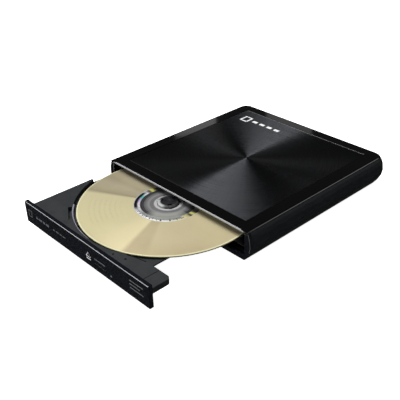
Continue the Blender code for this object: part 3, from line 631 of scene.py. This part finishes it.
def make_disc():
    """The disc as its real layers: label, mirror band, stacking ring, clear hub, rounded rim."""
    low, high = DISC_LOW.z / MM, DISC_HIGH.z / MM
    looks = (LOOKS["disc_gold"], disc_mirror("disc_mirror"), disc_clear("disc_clear"),
             disc_edge("disc_edge"), trim_line("disc_ring", (0.52, 0.52, 0.50)))
    label, mirror, clear, edge, rim = range(len(looks))
    # Radius, height and the look of the face from there to the next point.
    outline = [
        (7.6, low, clear), (7.5, low + 0.1, clear), (7.5, high - 0.12, clear), (7.62, high, clear),
        (10.2, high, clear), (10.35, high - 0.05, clear), (10.9, high - 0.05, clear),
        (11.05, high, clear), (15.4, high, clear), (15.6, high - 0.08, clear),
        (16.3, high - 0.08, clear), (16.5, high, clear), (18.8, high, mirror),
        (19.0, high - 0.04, mirror), (20.0, high - 0.04, mirror), (20.2, high, mirror),
        (22.55, high, rim), (22.65, high - 0.02, rim), (22.9, high - 0.02, rim),
        (23.0, high, label), (59.1, high, edge), (59.7, high - 0.05, edge),
        (59.98, high - 0.3, edge), (60.0, high - 0.5, edge), (59.98, low + 0.25, edge),
        (59.7, low, clear), (22.0, low, clear), (17.6, low, clear), (17.4, low - 0.12, clear),
        (16.9, low - 0.12, clear), (16.7, low, clear),
    ]
    steps = 224
    bm = bmesh.new()
    rings = [[bm.verts.new(around(DISC_CENTRE, radius, height, 2.0 * math.pi * i / steps))
              for i in range(steps)] for radius, height, _ in outline]
    for (_, _, kind), first, last in zip(outline, rings, rings[1:] + rings[:1]):
        for face in skin(bm, first, last):
            face.material_index = kind
    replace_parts(mesh_piece("gold_disc", bm, looks, "spindle", 22.0), "disc")


def print_mark(name, strokes, base, look, body):
    """Flat raised strokes (points, half width) on a plane (origin, across, up, out)."""
    origin, across, up, out = base
    sunk, rise = -0.02, 0.03
    bm = bmesh.new()
    for points, half in strokes:
        rows = []
        for i, (u, v) in enumerate(points):
            before, after = points[max(i - 1, 0)], points[min(i + 1, len(points) - 1)]
            along = Vector((after[0] - before[0], after[1] - before[1]))
            side = Vector((-along.y, along.x)).normalized() * half
            row = []
            for sign, lift in ((-1, sunk), (-1, rise), (1, rise), (1, sunk)):
                point = origin + across * (u + sign * side.x) * MM + up * (v + sign * side.y) * MM
                row.append(bm.verts.new(point + out * lift * MM))
            rows.append(row)
        bar(bm, rows)
    return mesh_piece(name, bm, [look], body)


def rectangle(x0, x1, y0, y1):
    return [(x0, y0), (x1, y0), (x1, y1), (x0, y1), (x0, y0)]


def make_marks():
    """Plain generic marks where the real object carries print."""
    on_bezel = (Vector((0.0, BEZEL_LOW.y, 0.0)), RIGHT, UP, FORWARD)
    square = rectangle(-59.8, -56.2, 11.2, 15.8)
    print_mark("bezel_square_mark", [(square, 0.28)], on_bezel, INK_GREY, "tray")
    line = 13.4
    large, small = 0.8, 0.45
    words = ((-51.0, 2.6, large), (-47.4, 3.6, large), (-42.8, 2.6, large), (-39.2, 3.4, large),
             (-31.0, 2.2, small), (-27.6, 3.0, small), (-23.4, 2.2, small), (-20.0, 3.0, small))
    dashes = [([(x, line), (x + long, line)], half) for x, long, half in words]
    print_mark("bezel_dashes", dashes, on_bezel, INK_DIM, "tray")
    left, right = 5.0, 9.4
    middle = (left + right) / 2.0
    eject = [([(left, 12.1), (right, 12.1), (middle, 15.0), (left, 12.1)], 0.22),
             ([(left, 10.6), (right, 10.6)], 0.3)]
    print_mark("bezel_eject_sign", eject, on_bezel, INK_WHITE, "tray")
    start = 47.0
    bars = [([(start, z), (start + long, z)], 0.34)
            for z, long in ((16.4, 12.0), (13.9, 9.0), (11.4, 12.0))]
    print_mark("bezel_bars", bars, on_bezel, INK_GREY, "tray")

    on_panel = (Vector((0.0, 0.0, PANEL_HIGH.z)), BACK, LEFT, UP)
    left = -PANEL_LOW.x / MM
    back = PANEL_HIGH.y / MM
    square = rectangle(back - 16.8, back - 9.6, left - 14.6, left - 8.4)
    line, pitch = back - 13.2, 7.4
    dashes = [([(line, left - 23.0 - pitch * i), (line, left - 18.4 - pitch * i)], 1.4)
              for i in range(4)]
    print_mark("panel_square_mark", [(square, 0.8)], on_panel, INK_WHITE, "case")
    print_mark("panel_dashes", dashes, on_panel, INK_WHITE, "case")


def make_recess_chamfer():
    """Thin sloped lip round the front of the recess, where the deck turns down to the disc,
    coloured pale as a painted highlight.
    """
    deck = TRAY_HIGH.z / MM
    start, stop, steps = 227.0, 268.0, 48
    outside, inside = 62.34, 61.5
    profile = ((outside, deck - 1.1), (inside, deck - 1.0), (inside + 0.2, deck - 0.45),
               (outside, deck))
    bm = bmesh.new()
    rows = []
    for i in range(steps + 1):
        turn = math.radians(start + (stop - start) * i / steps)
        rows.append([bm.verts.new(around(DISC_CENTRE, radius, height, turn))
                     for radius, height in profile])
    bar(bm, rows)
    # Pale lilac grey: a painted highlight where the chamfer catches the light.
    lip = grained("recess_lip_highlight", (0.30, 0.29, 0.36), 0.32, grain=1400.0, depth=0.00001,
                  specular=0.6)
    mesh_piece("recess_lip_highlight", bm, [lip], "tray")


def strip(name, path, facings, widths, look, body, thick=0.02):
    """Thin band along path, in metres, on a surface whose outward directions are facings."""
    sunk = -0.05
    section = ((-1.0, sunk), (-0.6, thick), (0.6, thick), (1.0, sunk))
    bm = bmesh.new()
    rows = []
    for i, (point, out, width) in enumerate(zip(path, facings, widths)):
        along = (path[min(i + 1, len(path) - 1)] - path[max(i - 1, 0)]).normalized()
        side = along.cross(out).normalized() * width * MM / 2.0
        rows.append([bm.verts.new(point + side * a + out.normalized() * lift * MM)
                     for a, lift in section])
    bar(bm, rows)
    return mesh_piece(name, bm, [look], body)


def straight_strip(name, start, stop, out, width, look, body, thick=0.02):
    ends = [Vector(start), Vector(stop)]
    return strip(name, ends, [out] * 2, [width] * 2, look, body, thick)


def make_lid_lines():
    """Painted highlights: a bright line round the lid's front edge, and paler lines on its lip,
    frame and panel.
    """
    front, top = COVER_LOW.y, COVER_HIGH.z
    corner, inset = 6.0 * MM, 0.20 * MM
    reach = COVER_HIGH.x - 0.5 * MM - corner
    bend, last = 9.0, 8
    # Painted highlight along the lid's rounded front edge.
    path, facings, widths = [], [], []
    for i in range(-last, last + 1):
        turn = math.radians(max(abs(i) - 1, 0) * bend) * (1 if i > 0 else -1)
        side = 0.0 if i == 0 else math.copysign(reach, i)
        outward = Vector((math.sin(turn), -math.cos(turn), 0.0))
        path.append(Vector((side, front + corner, top - inset)) + outward * (corner - inset))
        facings.append(outward + UP)
        widths.append(0.55 * (1.0 - max(abs(i) - 6, 0) / 3.0))
    strip("lid_front_highlight", path, facings, widths, HIGHLIGHT_BRIGHT, "case")

    # Painted sheen on the front face of the lid's lip.
    mouth, lip = TRAY_HIGH.x + 1.4 * MM, 21.55 * MM
    straight_strip("lid_lip_sheen", (-mouth, front, lip), (mouth, front, lip), FORWARD, 1.0,
                   LIP_SHEEN, "case", 0.03)

    # Painted highlight down the front frame's right corner.
    corners = [v.co.copy() for v in NODES["front_frame"].data.vertices
               if v.co.x > 64.0 * MM and v.co.z > 3.0 * MM
               and 0.2 * MM < v.co.y - front < 0.6 * MM]
    corners.sort(key=lambda co: co.z)
    count = len(corners)
    strip("frame_corner_highlight", corners, [Vector((0.8, -0.6, 0.0))] * count, [0.45] * count,
          HIGHLIGHT_DIM, "case", 0.03)

    left, right = PANEL_LOW.x + 0.5 * MM, PANEL_HIGH.x - 0.5 * MM
    rear, ahead, face = PANEL_HIGH.y - 0.25 * MM, PANEL_LOW.y + 0.2 * MM, PANEL_HIGH.z
    # Painted highlight along the panel's rear edge.
    straight_strip("panel_rear_highlight", (left, rear, face), (right, rear, face), UP, 0.5,
                   HIGHLIGHT_SOFT, "case")
    straight_strip("panel_front_line", (left, ahead, face), (right, ahead, face), UP, 0.4,
                   INK_SHADE, "case")

    # Painted highlight down the mouth's inner left edge.
    inner = -64.62 * MM
    straight_strip("frame_mouth_highlight", (inner, front, 6.0 * MM), (inner, front, 20.4 * MM),
                   FORWARD, 0.4, HIGHLIGHT_SOFT, "case", 0.03)


def make_tray_lines():
    """Painted highlight along the bezel's top edge, and the seams in the tray's wing and deck."""
    # Painted highlight along the bezel's rounded top front edge.
    y, z = BEZEL_LOW.y + 0.10 * MM, BEZEL_HIGH.z - 0.10 * MM
    straight_strip("bezel_top_highlight", (BEZEL_LOW.x + 0.3 * MM, y, z),
                   (BEZEL_HIGH.x - 0.3 * MM, y, z), Vector((0.0, -0.7, 0.7)), 0.36, HIGHLIGHT_BRIGHT,
                   "tray")
    deck = TRAY_HIGH.z
    for name, start, stop in (("wing_seam", (53.0, -103.8), (53.0, -90.8)),
                              ("deck_seam", (30.0, -93.6), (41.5, -90.8))):
        straight_strip(name, (start[0] * MM, start[1] * MM, deck),
                       (stop[0] * MM, stop[1] * MM, deck), UP, 0.7, SEAM_DARK, "tray",
                       0.03)


# -------------------------------------------------------------------- stage


def make_camera():
    place = (0.29598, -0.27782, 0.24494)
    azimuth, elevation, roll = (math.radians(x) for x in (47.924, 30.868, -1.787))
    data = bpy.data.cameras.new("camera")
    data.sensor_width = 36.0
    data.lens = 61.01
    data.clip_start = 0.01
    data.clip_end = 20.0
    level = math.cos(elevation)
    back = Vector((math.sin(azimuth) * level, -math.cos(azimuth) * level, math.sin(elevation)))
    right = Vector((math.cos(azimuth), math.sin(azimuth), 0.0))
    up = back.cross(right)
    tilted_right = math.cos(roll) * right + math.sin(roll) * up
    tilted_up = -math.sin(roll) * right + math.cos(roll) * up
    turn = Matrix((tilted_right, tilted_up, back)).transposed().to_4x4()
    camera = bpy.data.objects.new("camera", data)
    camera.matrix_world = Matrix.Translation(place) @ turn
    bpy.context.scene.collection.objects.link(camera)
    bpy.context.scene.camera = camera


def soft_light(name, place, aim, size, power):
    data = bpy.data.lights.new(name, "AREA")
    data.shape = "RECTANGLE"
    data.size, data.size_y = size
    data.energy = power
    lamp = bpy.data.objects.new(name, data)
    lamp.location = place
    lamp.rotation_mode = "QUATERNION"
    lamp.rotation_quaternion = (Vector(aim) - Vector(place)).to_track_quat("-Z", "Y")
    bpy.context.scene.collection.objects.link(lamp)
    return lamp


def floor_look():
    """Plain white from above, and clear from below so that the underside can be seen."""
    g = Graph("floor_white")
    path = g.node("LightPath")
    glow = g.spread(path.outputs["Is Camera Ray"], 0.0, 1.0)
    g.set(base_color=(0.85, 0.85, 0.85), roughness=0.9)
    g.set(emission_color=(1.0, 1.0, 1.0), emission_strength=glow)
    side, clear, either = g.node("NewGeometry"), g.node("BsdfTransparent"), g.node("MixShader")
    g.join(side.outputs["Backfacing"], either.inputs["Fac"])
    g.join(g.shader.outputs[0], either.inputs[1])
    g.join(clear.outputs[0], either.inputs[2])
    g.join(either.outputs[0], g.out.inputs["Surface"])
    return g.material


def make_floor():
    half, height = 8.0, -0.1 * MM
    bm = bmesh.new()
    corners = ((-half, -half), (half, -half), (half, half), (-half, half))
    bm.faces.new([bm.verts.new((x, y, height)) for x, y in corners])
    mesh = bpy.data.meshes.new("floor")
    bm.to_mesh(mesh)
    bm.free()
    mesh.materials.append(floor_look())
    floor = bpy.data.objects.new("floor", mesh)
    bpy.context.scene.collection.objects.link(floor)
    floor.visible_glossy = False


def make_lights():
    """Overhead strips for the brushed panel, two plain fills, and small cards for the rims."""
    height, ahead, depth = 1.0, -0.18, 0.6
    strips = (("key", -0.36, 0.72, 8.2), ("key_left", -0.61, 0.22, 2.5),
              ("key_right", 0.10, 0.20, 1.1), ("key_far_right", 0.33, 0.26, 0.7))
    for name, x, width, power in strips:
        soft_light(name, (x, ahead, height), (x, ahead, 0.0), (width, depth), power)
    fill = soft_light("fill", (0.0, 0.0, 1.3), (0.0, 0.0, 0.0), (1.6, 1.6), 7.0)
    front = soft_light("front_fill", (0.15, -0.95, 0.42), (0.0, 0.0, 0.01), (0.5, 0.3), 3.0)
    fill.visible_glossy = front.visible_glossy = False
    middle = (0.0, 0.03, 0.02)
    soft_light("left_card", (-0.852, 0.750, 0.390), middle, (0.10, 0.26), 0.045)
    soft_light("rear_card", (-0.683, 0.910, 0.390), middle, (0.11, 0.26), 0.028)
    soft_light("right_card", (0.85, 0.80, 0.36), (0.07, 0.03, 0.012), (0.50, 0.35), 0.9)


def make_world():
    """White where the camera looks past the floor, and nearly dark for everything else."""
    world = bpy.data.worlds.new("studio")
    world.use_nodes = True
    tree = world.node_tree
    tree.nodes.clear()
    out = tree.nodes.new("ShaderNodeOutputWorld")
    mixed = tree.nodes.new("ShaderNodeMixShader")
    path = tree.nodes.new("ShaderNodeLightPath")
    tree.links.new(path.outputs["Is Camera Ray"], mixed.inputs["Fac"])
    for slot, level in ((1, 0.03), (2, 1.0)):
        shade = tree.nodes.new("ShaderNodeBackground")
        shade.inputs["Color"].default_value = (1.0, 1.0, 1.0, 1.0)
        shade.inputs["Strength"].default_value = level
        tree.links.new(shade.outputs[0], mixed.inputs[slot])
    tree.links.new(mixed.outputs[0], out.inputs["Surface"])
    bpy.context.scene.world = world
    bpy.context.scene.view_settings.view_transform = "Standard"


make_camera()
make_floor()
make_lights()
make_world()
dress_cad_nodes()
make_disc()
make_recess_chamfer()
make_marks()
make_lid_lines()
make_tray_lines()
